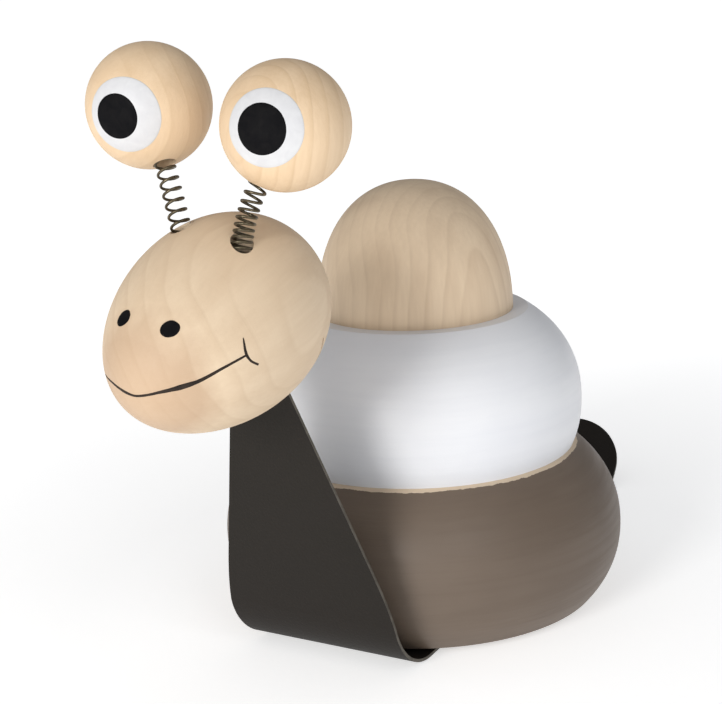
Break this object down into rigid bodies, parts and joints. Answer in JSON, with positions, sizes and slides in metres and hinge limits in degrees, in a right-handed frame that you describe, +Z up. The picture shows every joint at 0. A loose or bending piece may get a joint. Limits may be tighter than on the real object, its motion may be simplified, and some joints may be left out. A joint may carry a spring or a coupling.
{
  "type": "wooden snail figure",
  "caption": "Wooden snail: stacked turned shell on a bent steel strip, egg-shaped head and ball eyes that wobble on coil springs.",
  "frame": {"origin": "where the shell's upright axis meets the ground, in the strip's underside", "axes": "+X towards the head, +Y to the snail's left, +Z up"},
  "size_m": [0.2971, 0.1364, 0.1966],
  "materials": {
    "strip_paint": "matt dark brown-black powder coat",
    "shell_brown": "satin brown paint on turned wood",
    "shell_white": "satin white paint on turned wood",
    "bare_wood": "sanded, lightly oiled pale wood",
    "eye_wood": "sanded pale wood, slightly yellower",
    "dowel_wood": "plain dowel",
    "screw_steel": "zinc plated",
    "spring_steel": "dark bronze spring wire",
    "mark_white": "brushed white paint",
    "mark_black": "gloss black paint"
  },
  "bodies": {
    "snail": {"foot_plate": "strip_paint", "shell_lower": "shell_brown", "shell_middle": "shell_white", "shell_top": "bare_wood", "shell_dowel": "dowel_wood", "base_screws": "screw_steel", "head": "bare_wood"},
    "left_spring_foot": {"left_spring_lower": "spring_steel"},
    "left_spring_head": {"left_spring_upper": "spring_steel"},
    "left_eye_ball": {"left_eye": "eye_wood"},
    "right_spring_foot": {"right_spring_lower": "spring_steel"},
    "right_spring_head": {"right_spring_upper": "spring_steel"},
    "right_eye_ball": {"right_eye": "eye_wood"}
  },
  "joints": [
    {"name": "left_eye_nod", "type": "hinge", "parent": "snail", "child": "left_spring_foot", "pos_m": [0.11898, 0.01294, 0.14642], "axis": [0, 1, 0], "range_deg": [-22, 22], "stiffness_Nm_per_rad": 0.08, "deforming": ["left_spring_lower", "left_spring_upper"]},
    {"name": "left_eye_bounce", "type": "slide", "parent": "left_spring_foot", "child": "left_spring_head", "axis": [-0.3183, 0.1848, 0.9298], "range_m": [-0.003, 0.002], "stiffness_N_per_m": 1500, "deforming": ["left_spring_lower", "left_spring_upper"]},
    {"name": "left_eye_sway", "type": "hinge", "parent": "left_spring_head", "child": "left_eye_ball", "pos_m": [0.11531, 0.01507, 0.15712], "axis": [0.9461, 0, 0.3239], "range_deg": [-20, 9], "stiffness_Nm_per_rad": 0.08, "deforming": ["left_spring_lower", "left_spring_upper"]},
    {"name": "right_eye_nod", "type": "hinge", "parent": "snail", "child": "right_spring_foot", "pos_m": [0.11774, -0.00857, 0.14927], "axis": [0, 1, 0], "range_deg": [-22, 22], "stiffness_Nm_per_rad": 0.08, "deforming": ["right_spring_lower", "right_spring_upper"]},
    {"name": "right_eye_bounce", "type": "slide", "parent": "right_spring_foot", "child": "right_spring_head", "axis": [-0.24, -0.3891, 0.8894], "range_m": [-0.003, 0.002], "stiffness_N_per_m": 1500, "deforming": ["right_spring_lower", "right_spring_upper"]},
    {"name": "right_eye_sway", "type": "hinge", "parent": "right_spring_head", "child": "right_eye_ball", "pos_m": [0.11441, -0.01397, 0.16161], "axis": [0.9655, 0, 0.2605], "range_deg": [-9, 20], "stiffness_Nm_per_rad": 0.08, "deforming": ["right_spring_lower", "right_spring_upper"]}
  ]
}
